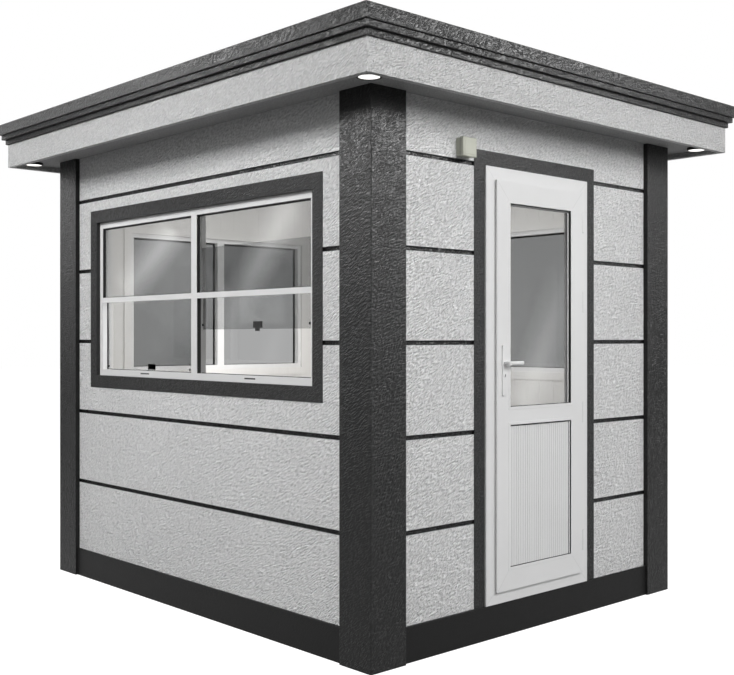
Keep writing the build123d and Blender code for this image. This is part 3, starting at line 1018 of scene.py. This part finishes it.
@dataclass
class Window:
    """One window: its panes' seals and, with sashes, the guides, pins and drains."""

    side: Side
    sashes: bool = False
    mullion: float = 0.050
    transom_foot: float = 1.543
    liner: float = 0.0018
    liner_inset: float = 0.0008
    seal_margins: Margins = (0.004, 0.004, 0.0028, 0.0085)
    seal: float = 0.003
    sash_seal: float = 0.006
    foot_seal: Span = (0.004, 0.003)
    guide_lining: Span = (0.003, 0.023)
    guide_slot: Span = (-0.0005, 0.0065)
    raised_foot: float = 1.389
    pins: tuple[Span, ...] = ((-0.905, 1.191), (-0.084, 1.188), (0.033, 1.412), (0.871, 1.413))
    pin_radius: float = 0.0065
    pin_height: float = 0.003
    pin_round: float = 0.001
    drains: Span = (-0.468, 0.468)
    drain_half_length: float = 0.043
    drain_depth: Span = (-0.0008, 0.002)
    drain_levels: Span = (-0.0175, -0.0105)
    drain_round: float = 0.0015

    def part(self, name: str) -> WallBox:
        """The limits of one of the window's nodes."""
        return WallBox.of(f"{self.side.label}_window_{name}", self.side)

    def panes(self) -> list[Span]:
        """Divides the glass.

        Returns:
            The limits of the two panes along the wall.
        """
        low, high = self.part("glass").wide
        middle, half = (low + high) / 2, self.mullion / 2
        return [(low, middle - half), (middle + half, high)]

    def build(self) -> None:
        """Adds the seals, and what the sashes need."""
        seals = Piece(f"{self.side.label}_window_seals", self.side)
        glass = self.part("glass")
        front, back = self.part("frame").deep[0] + self.liner_inset, glass.deep[0]
        for pane in self.panes():
            seals.ring(pane, glass.tall, (self.liner,) * 4, (front, back))
            seals.ring(pane, glass.tall, self.seal_margins, (back - self.seal, back))
        if self.sashes:
            self.build_sash_seals(seals)
        seals.finish(Body.BOOTH, "black_plastic", RUBBER_AND_SHADE)
        if self.sashes:
            self.build_guides()
            self.build_pins()
            self.build_drains()

    def build_sash_seals(self, seals: Piece) -> None:
        """Adds the seals beside and under both sashes; the raised sash's left side has a lining.

        Args:
            seals: the piece that they belong to.
        """
        face, sash = self.part("frame").deep[0], self.part("sashes")
        depth, sill, top = sash.deep[0], sash.tall[0], self.transom_foot
        beside = (depth - self.sash_seal, depth)
        lining = tuple(face + offset for offset in self.guide_lining)
        rise, foot = self.foot_seal
        for (left, right), (front, back) in zip(self.panes(), (beside, lining)):
            seals.block((left, front, sill), (left + self.liner, back, top))
            seals.block((right - self.liner, beside[0], sill), (right, depth, top))
            seals.block((left, depth - rise, sill), (right, depth, sill + foot))

    def build_guides(self) -> None:
        """Adds the raised sash's guide, with a slot under the sash."""
        guides = Piece(f"{self.side.label}_sash_guides", self.side)
        face, sash = self.part("frame").deep[0], self.part("sashes")
        left, sill = self.panes()[1][0], sash.tall[0]
        slot = tuple(sash.deep[0] + offset for offset in self.guide_slot)
        for front, back, top in (
            (face + self.guide_lining[1], slot[0], self.transom_foot),
            (*slot, self.raised_foot),
            (slot[1], WALL, self.transom_foot),
        ):
            guides.block((left, front, sill), (left + self.liner, back, top))
        guides.finish(Body.BOOTH, "black_plastic", GUIDE)

    def build_pins(self) -> None:
        """Adds the pins at the sashes' lower corners."""
        pins = Piece(f"{self.side.label}_sash_pins", self.side)
        face = self.part("sashes").deep[0]
        for centre in self.pins:
            pins.disc(centre, self.pin_radius, (face - self.pin_height, face), self.pin_round)
        pins.finish(Body.BOOTH, "black_plastic", BLACK_PLASTIC)

    def build_drains(self) -> None:
        """Adds the drain caps of the bottom rail."""
        drains = Piece(f"{self.side.label}_window_drains", self.side)
        face, sill = self.part("frame").deep[0], self.part("sashes").tall[0]
        front, back = (face + offset for offset in self.drain_depth)
        foot, top = (sill + offset for offset in self.drain_levels)
        for middle in self.drains:
            low = (middle - self.drain_half_length, front, foot)
            high = (middle + self.drain_half_length, back, top)
            drains.block(low, high, self.drain_round, 2)
        drains.finish(Body.BOOTH, "black_plastic", BLACK_PLASTIC)

    def dress(self) -> None:
        """Finishes the window's nodes."""
        name = self.side.label
        dress(PVC, f"{name}_window_frame")
        dress(SINGLE_GLASS if self.sashes else SEALED_GLASS, f"{name}_window_glass")
        if self.sashes:
            dress(SASH_GLASS, f"{name}_window_sashes")
            dress(BLACK_PLASTIC, f"{name}_window_latches")


@dataclass
class Door:
    """The door's beads, gaskets, lock and finishes."""

    bead: float = 0.013
    bead_rise: float = 0.0012
    bead_round: float = 0.0008
    tuck: float = 0.001
    glass_gasket: Margins = (0.006, 0.017, 0.003, 0.0115)
    panel_gasket: Margins = (0.003, 0.012, 0.003, 0.006)
    gasket_rise: float = 0.003
    reveal: float = 0.0015
    reveal_inset: float = 0.0008
    strip: float = 0.0065
    strip_rise: Span = (0.0036, 0.002)
    strip_round: float = 0.0006
    lock_level: float = 1.179
    barrel_radius: float = 0.0085
    barrel_rise: float = 0.0025
    barrel_round: float = 0.0008
    keyway_half: Span = (0.0024, 0.006)
    keyway_rise: float = 0.003
    keyway_round: float = 0.0006

    def build(self) -> None:
        """Adds what the leaf carries."""
        self.build_beads()
        self.build_gaskets()
        self.build_lock(WallBox.of("handle_plate", Side.FRONT))

    def build_beads(self) -> None:
        """Adds the beads that hold the glass and the panel."""
        beads = Piece("door_glazing_beads", Side.FRONT)
        face = DOOR_LEAF.deep[0]
        for light in (DOOR_GLASS, DOOR_PANEL):
            wide = (light.wide[0] - self.bead, light.wide[1] + self.bead)
            tall = (light.tall[0] - self.bead, light.tall[1] + self.bead)
            depth = (face - self.bead_rise, face + self.tuck)
            beads.ring(wide, tall, (self.bead,) * 4, depth, self.bead_round)
        beads.finish(Body.DOOR, "white_pvc", PVC)

    def build_gaskets(self) -> None:
        """Adds the gaskets, the lined reveals on the hinge side and the pale strips beside them."""
        gaskets = Piece("door_gaskets", Side.FRONT)
        strips = Piece("door_edge_strips", Side.FRONT)
        face = DOOR_LEAF.deep[0] + self.reveal_inset
        for light, margins in ((DOOR_GLASS, self.glass_gasket), (DOOR_PANEL, self.panel_gasket)):
            _, right, bottom, top = margins
            back, edge = light.deep[0], light.wide[1]
            foot, head = light.tall
            front = back - self.gasket_rise
            gaskets.ring(light.wide, light.tall, margins, (front, back + self.tuck))
            gaskets.block((edge - self.reveal, face, foot), (edge, front, head))
            low = (edge - right, back - self.strip_rise[0], foot + bottom)
            high = (edge - right + self.strip, back - self.strip_rise[1], head - top)
            strips.block(low, high, self.strip_round)
        gaskets.finish(Body.DOOR, "black_plastic", RUBBER_AND_SHADE)
        strips.finish(Body.DOOR, "white_pvc", PVC)

    def build_lock(self, plate: WallBox) -> None:
        """Adds the lock's barrel and keyway on the handle's plate.

        Args:
            plate: limits of the plate.
        """
        x, z, face = sum(plate.wide) / 2, self.lock_level, plate.deep[0]
        barrel = Piece("door_lock_barrel", Side.FRONT)
        depth = (face - self.barrel_rise, face + self.tuck)
        barrel.disc((x, z), self.barrel_radius, depth, self.barrel_round)
        barrel.finish(Body.DOOR, "white_pvc", PVC)
        keyway = Piece("door_keyway", Side.FRONT)
        half_wide, half_tall = self.keyway_half
        low = (x - half_wide, face - self.keyway_rise, z - half_tall)
        keyway.block(low, (x + half_wide, face, z + half_tall), self.keyway_round)
        keyway.finish(Body.DOOR, "black_plastic", BLACK_PLASTIC)

    def dress(self) -> None:
        """Finishes the door's nodes."""
        dress(FRAME_PVC, "door_frame")
        dress(LEAF_PVC, "door_leaf")
        dress(PVC, "door_panel", "frame_hinge_halves", "leaf_hinge_halves")
        dress(PVC, "handle_plate", "lever_handle")
        dress(SINGLE_GLASS, "door_glass")


@dataclass
class Room:
    """The lining boards, window casings, ceiling and floor inside."""

    pitch: float = 0.100
    thickness: float = 0.008
    joint: float = 0.0015
    back_joint_share: float = 0.3
    gap: float = 0.005
    narrowest: float = 0.006
    slack: float = 0.0001
    casing: float = 0.046
    casing_lap: float = 0.008
    casing_depth: float = 0.014
    casing_round: float = 0.002
    sill_from: float = 0.1

    def build(self, openings: list[Opening]) -> None:
        """Lines each wall and frames its opening.

        Args:
            openings: one to each wall.
        """
        for opening in openings:
            self.line(opening)
            self.frame(opening)

    def line(self, opening: Opening) -> None:
        """Adds one wall's upright boards, cut round its opening.

        Args:
            opening: the wall's opening.
        """
        side = opening.side
        half = side.half_length - WALL - (self.thickness if side.is_end else 0)
        joint = self.joint * (self.back_joint_share if side is Side.BACK else 1)
        hole = (opening.wide[0] - self.gap, opening.wide[1] + self.gap)
        count = int(2 * half / self.pitch)
        cuts = {half, *hole, *(-half + index * self.pitch for index in range(count + 1))}
        marks = sorted(mark for mark in cuts if -half <= mark <= half)
        boards = Piece(f"{side.label}_lining_boards", side)
        for x0, x1 in zip(marks, marks[1:]):
            levels = [(FLOOR_LEVEL, CEILING_LEVEL)]
            if hole[0] - self.slack < x0 and x1 < hole[1] + self.slack:
                levels = [
                    (FLOOR_LEVEL, opening.tall[0] - self.gap),
                    (opening.tall[1] + self.gap, CEILING_LEVEL),
                ]
            for z0, z1 in levels:
                if min(x1 - x0, z1 - z0) > self.narrowest:
                    boards.block((x0, WALL, z0), (x1, WALL + self.thickness, z1), joint)
        boards.finish(Body.BOOTH, "pale_lining", LINING)

    def frame(self, opening: Opening) -> None:
        """Adds the flat casing round an opening, on three sides where it reaches the floor.

        Args:
            opening: the wall's opening.
        """
        left, right = opening.wide[0] + self.casing_lap, opening.wide[1] - self.casing_lap
        foot, head = opening.tall[0] + self.casing_lap, opening.tall[1] - self.casing_lap
        outer_left, outer_right = left - self.casing, right + self.casing
        top = head + self.casing
        front, back = WALL, WALL + self.casing_depth
        casing = Piece(f"{opening.side.label}_casing", opening.side)
        if opening.tall[0] > FLOOR_LEVEL + self.sill_from:
            tall = (foot - self.casing, top)
            casing.ring((outer_left, outer_right), tall, (self.casing,) * 4, (front, back))
        else:
            for x0, x1 in ((outer_left, left), (right, outer_right)):
                casing.block((x0, front, FLOOR_LEVEL), (x1, back, top), self.casing_round)
            casing.block((left, front, head), (right, back, top), self.casing_round)
        casing.finish(Body.BOOTH, "pale_lining", LINING)

    def dress(self) -> None:
        """Finishes the ceiling and the floor."""
        dress(CEILING, "ceiling_panel")
        dress(FLOORING, "floor_panel")


@dataclass
class JunctionBox:
    """The small moulded box by the door's top: painted shade under its cover, the cover's raised
    field.
    """

    lip: float = 0.0016
    # painted shade: depth of the black ring that darkens the gap under the cover
    gap_shade: Span = (-0.0005, 0.003)
    border: float = 0.007
    field_depth: Span = (-0.0012, 0.001)
    field_round: float = 0.001

    def build(self) -> None:
        """Adds the dark ring of painted shade under the cover, and the field."""
        box = WallBox.of("junction_box", Side.FRONT)
        face = WallBox.of("junction_box_cover", Side.FRONT).deep[0]
        # painted shade: a black ring at the joint of box and cover stands in for the shade under the
        # cover's edge
        gap_shade = Piece("junction_box_gap_shade", Side.FRONT)
        wide = (box.wide[0] - self.lip, box.wide[1] + self.lip)
        tall = (box.tall[0] - self.lip, box.tall[1] + self.lip)
        depth = (box.deep[0] + self.gap_shade[0], box.deep[0] + self.gap_shade[1])
        gap_shade.ring(wide, tall, (self.lip * 2,) * 4, depth)
        gap_shade.finish(Body.BOOTH, "black_plastic", RUBBER_AND_SHADE)
        raised = Piece("junction_box_field", Side.FRONT)
        near, far = (face + offset for offset in self.field_depth)
        low = (box.wide[0] + self.border, near, box.tall[0] + self.border)
        high = (box.wide[1] - self.border, far, box.tall[1] - self.border)
        raised.block(low, high, self.field_round, 2)
        raised.finish(Body.BOOTH, "beige_plastic", BEIGE_PLASTIC)

    def dress(self) -> None:
        """Finishes the box and its cover."""
        dress(BEIGE_PLASTIC, "junction_box", "junction_box_cover")


@dataclass
class Lamp:
    """One soft lamp: where it is, what it points at, its size and power."""

    name: str
    at: Point
    to: Point
    size: Span
    power: float
    shows: Shows = Shows.BOTH

    def build(self) -> None:
        """Adds the lamp."""
        data = bpy.data.lights.new(self.name, "AREA")
        data.shape = "RECTANGLE"
        data.size, data.size_y = self.size
        data.energy = self.power
        lamp = bpy.data.objects.new(self.name, data)
        lamp.location = self.at
        lamp.rotation_euler = (Vector(self.to) - Vector(self.at)).to_track_quat("-Z", "Y").to_euler()
        lamp.visible_camera = False
        lamp.visible_transmission = False
        lamp.visible_glossy, lamp.visible_diffuse = self.shows.value
        bpy.context.scene.collection.objects.link(lamp)
        LOG.info("lamp %s: %g W", self.name, self.power)


@dataclass
class Streak:
    """A soft slanting band of light on a dark card; its strength changes evenly to the tail's."""

    start: Span
    end: Span
    width: float
    strength: float
    tail: float
    side_fade: Stops = ((0.0, 1.0), (0.35, 0.7), (1.0, 0.0))
    end_fade: Stops = ((0.0, 1.0), (0.8, 0.9), (1.0, 0.0))

    def light(self, graph: Graph, x: Wire, y: Wire) -> Wire:
        """Adds the band to a card's material.

        Args:
            graph: the material's graph.
            x: the point's place across the card.
            y: the point's place up the card.

        Returns:
            The band's light.
        """
        run = Vector(self.end) - Vector(self.start)
        along, across = run / run.length, Vector((-run.y, run.x)) / run.length
        right, up = x - self.start[0], y - self.start[1]
        passed = (right * along.x + up * along.y) / run.length
        beside = (right * across.x + up * across.y) / self.width
        body = graph.ramp(abs(beside), self.side_fade, "B_SPLINE")
        ends = graph.ramp(abs(passed - 0.5) * 2, self.end_fade, "B_SPLINE")
        return body * ends * (self.strength + passed * (self.tail - self.strength))


def link_mesh(name: str, mesh: bmesh.types.BMesh, material: bpy.types.Material) -> bpy.types.Object:
    """Makes an object of the stage.

    Args:
        name: the object's name.
        mesh: its mesh, which is freed.
        material: its material.

    Returns:
        The new object.
    """
    data = bpy.data.meshes.new(name)
    mesh.to_mesh(data)
    mesh.free()
    data.materials.append(material)
    made = bpy.data.objects.new(name, data)
    bpy.context.scene.collection.objects.link(made)
    LOG.info("stage %s", name)
    return made


@dataclass
class LightCard:
    """An upright dark card with soft bands of light, seen only as a reflection."""

    name: str
    middle: Point
    turn: float
    size: Span
    streaks: tuple[Streak, ...]

    def build(self) -> None:
        """Adds the card to the stage."""
        mesh = bmesh.new()
        bmesh.ops.create_grid(mesh, x_segments=1, y_segments=1, size=0.5)
        bmesh.ops.scale(mesh, vec=(*self.size, 1.0), verts=mesh.verts)
        card = link_mesh(self.name, mesh, self.material())
        upright = Matrix.Rotation(math.pi / 2, 4, "X")
        turned = Matrix.Rotation(math.radians(self.turn), 4, "Z")
        card.matrix_world = Matrix.Translation(self.middle) @ turned @ upright
        card.visible_camera = False
        card.visible_diffuse = False
        card.visible_transmission = False
        card.visible_shadow = False

    def material(self) -> bpy.types.Material:
        """Makes the banded light of the card.

        Returns:
            Its material.
        """
        material, graph = new_material(self.name)
        x, y, _ = graph.place()
        glow = reduce(Wire.__add__, [streak.light(graph, x, y) for streak in self.streaks])
        light = {"Color": graph.vector(glow, glow, glow), "Strength": 1.0}
        graph.output(graph.shader("ShaderNodeEmission", light))
        return material


@dataclass
class Studio:
    """The camera at the photograph's place, the pale floor, the white surround and the lamps."""

    lamps: list[Lamp] = field(default_factory=list)
    cards: list[LightCard] = field(default_factory=list)
    image: tuple[int, int] = (734, 675)
    focal_px: float = 1073.70
    centre_px: Span = (393.0, 337.28)
    sensor: float = 36.0
    eye: Point = (-3.9535, -4.5299, 1.3514)
    heading: float = 0.814663
    sky: float = 0.43
    floor_half: float = 40.0
    floor_drop: float = 0.0005
    floor_lit: float = 0.16
    floor_shown: float = 0.30
    floor_glow: float = 0.92

    def build(self) -> None:
        """Adds everything round the booth."""
        self.camera()
        self.world()
        self.floor()
        for item in (*self.lamps, *self.cards):
            item.build()
        bpy.context.scene.view_settings.view_transform = "Standard"

    def camera(self) -> None:
        """Adds the level camera, its axis moved off the middle of the frame by a shift."""
        width, height = self.image
        data = bpy.data.cameras.new("camera")
        data.sensor_fit = "HORIZONTAL"
        data.sensor_width = self.sensor
        data.lens = self.focal_px * self.sensor / width
        data.shift_x = (width / 2 - self.centre_px[0]) / width
        data.shift_y = (self.centre_px[1] - height / 2) / width
        camera = bpy.data.objects.new("camera", data)
        camera.location = self.eye
        camera.rotation_euler = (math.pi / 2, 0.0, self.heading - math.pi / 2)
        bpy.context.scene.collection.objects.link(camera)
        bpy.context.scene.camera = camera

    def seen(self, graph: Graph) -> Wire:
        """Marks the rays that show the surround itself.

        Args:
            graph: the graph that asks.

        Returns:
            1 for a ray from the camera, from a mirror or through glass, else 0.
        """
        path = graph.node("ShaderNodeLightPath")
        kinds = ("Camera", "Glossy", "Transmission")
        return reduce(Wire.__or__, [graph.wire(path.outputs[f"Is {kind} Ray"]) for kind in kinds])

    def world(self) -> None:
        """A white surround that lights the booth as a soft sky."""
        world = bpy.data.worlds.new("surround")
        bpy.context.scene.world = world
        world.use_nodes = True
        graph = Graph(world.node_tree)
        white = graph.shader("ShaderNodeBackground", {0: WHITE, 1: 1.0})
        sky = graph.shader("ShaderNodeBackground", {0: WHITE, 1: self.sky})
        shown = graph.shader("ShaderNodeMixShader", {0: self.seen(graph), 1: sky, 2: white})
        graph.output(shown, "ShaderNodeOutputWorld")

    def floor(self) -> None:
        """A pale floor that keeps the booth's shadow and throws little light back up."""
        mesh = bmesh.new()
        bmesh.ops.create_grid(mesh, x_segments=1, y_segments=1, size=self.floor_half)
        bmesh.ops.translate(mesh, verts=mesh.verts, vec=(0, 0, -self.floor_drop))
        material, graph = new_material("floor")
        dull = graph.shader("ShaderNodeBsdfDiffuse", {0: (*grey(self.floor_lit), 1.0)})
        paper = graph.shader("ShaderNodeBsdfDiffuse", {0: (*grey(self.floor_shown), 1.0)})
        glow = graph.shader("ShaderNodeEmission", {0: WHITE, 1: self.floor_glow})
        pale = graph.shader("ShaderNodeAddShader", {0: paper, 1: glow})
        graph.output(graph.shader("ShaderNodeMixShader", {0: self.seen(graph), 1: dull, 2: pale}))
        link_mesh("floor", mesh, material)


def studio() -> Studio:
    """Sets out this picture's light.

    Returns:
        The studio with its soft lamps, the glints of the dark posts, the room's lamps and the
        cards that the glass mirrors.
    """
    glint, room = Shows.REFLECTION, Shows.SPREAD
    return Studio(
        lamps=[
            Lamp("front", (-0.1, -5.8, 3.8), (-0.1, -1.3, 1.3), (4.5, 2.4), 225.0),
            Lamp("left", (-5.5, 0.3, 4.7), (-1.05, 0.0, 1.3), (4.5, 1.7), 265.0),
            Lamp("back", (0.1, 5.8, 3.8), (0.1, 1.3, 1.3), (4.5, 2.4), 130.0),
            Lamp("right", (5.5, -0.3, 4.7), (1.05, 0.0, 1.3), (4.5, 1.7), 150.0),
            Lamp("front_glint", (1.4, -4.0, 3.3), (-0.7, -1.3, 1.8), (2.4, 0.5), 480.0, glint),
            Lamp("left_glint", (-3.7, 1.5, 3.3), (-1.05, -0.9, 1.8), (2.4, 0.5), 345.0, glint),
            Lamp("far_left_glint", (-2.45, 4.25, 2.0), (-1.05, 1.24, 1.5), (0.4, 1.4), 11.0, glint),
            Lamp("right_glint", (3.4, -3.0, 2.1), (0.95, -1.35, 1.5), (0.6, 1.2), 13.0, glint),
            Lamp("post_glint", (0.0, -2.45, 2.6), (-1.0, -1.345, 2.2), (0.4, 0.25), 7.0, glint),
            Lamp("corner_glint", (-4.4, -3.2, 2.66), (-1.05, -1.35, 2.1), (1.0, 0.4), 230.0, glint),
            Lamp("room", (0.0, 0.0, 2.30), (0.0, 0.0, 0.0), (1.2, 1.6), 18.5, room),
            Lamp("room_low", (0.0, 0.0, 0.30), (0.0, 0.0, 2.0), (1.2, 1.6), 3.0, room),
            Lamp("room_corner", (-0.35, 0.35, 1.35), (-0.84, 1.255, 1.40), (0.4, 0.4), 7.0, room),
            Lamp("room_head", (0.30, 0.20, 2.25), (0.30, 1.255, 2.15), (0.6, 0.1), 2.9, room),
            Lamp("room_side", (0.10, -0.60, 1.50), (0.98, -0.55, 1.50), (0.4, 0.4), 7.0, room),
        ],
        cards=[
            LightCard(
                "window_light_card", (-5.75, 6.0, 2.25), 0.0, (7.5, 4.4),
                (
                    Streak((1.12, 0.34), (1.78, -0.46), 0.25, 4.4, 2.0),
                    Streak((-0.57, 0.86), (0.54, -0.92), 0.30, 3.6, 1.0),
                    Streak((-0.75, 1.05), (-0.10, 0.15), 0.50, 4.2, 0.0),
                ),
            ),
            LightCard(
                "door_light_card", (6.0, -6.5, 2.25), 90.0, (9.0, 4.4),
                (Streak((0.80, 0.03), (0.04, -1.85), 0.36, 0.4, 4.0),),
            ),
        ],
    )


def main() -> None:
    """Builds and dresses the booth in order, then the studio round it."""
    logging.basicConfig(level=logging.INFO, format="%(name)s %(message)s")
    window_lap = 0.005
    openings = [Opening.behind("door_frame", Side.FRONT, 0.0)]
    for side in (Side.LEFT, Side.RIGHT, Side.BACK):
        openings.append(Opening.behind(f"{side.label}_window_frame", side, window_lap))
    cladding = Cladding()
    cladding.build(openings)
    cladding.dress()
    DarkTrim().dress()
    Eaves().dress()
    for window in (Window(Side.LEFT, sashes=True), Window(Side.RIGHT), Window(Side.BACK)):
        window.build()
        window.dress()
    door = Door()
    door.build()
    door.dress()
    box = JunctionBox()
    box.build()
    box.dress()
    room = Room()
    room.build(openings)
    room.dress()
    studio().build()


if __name__ == "__main__":
    main()
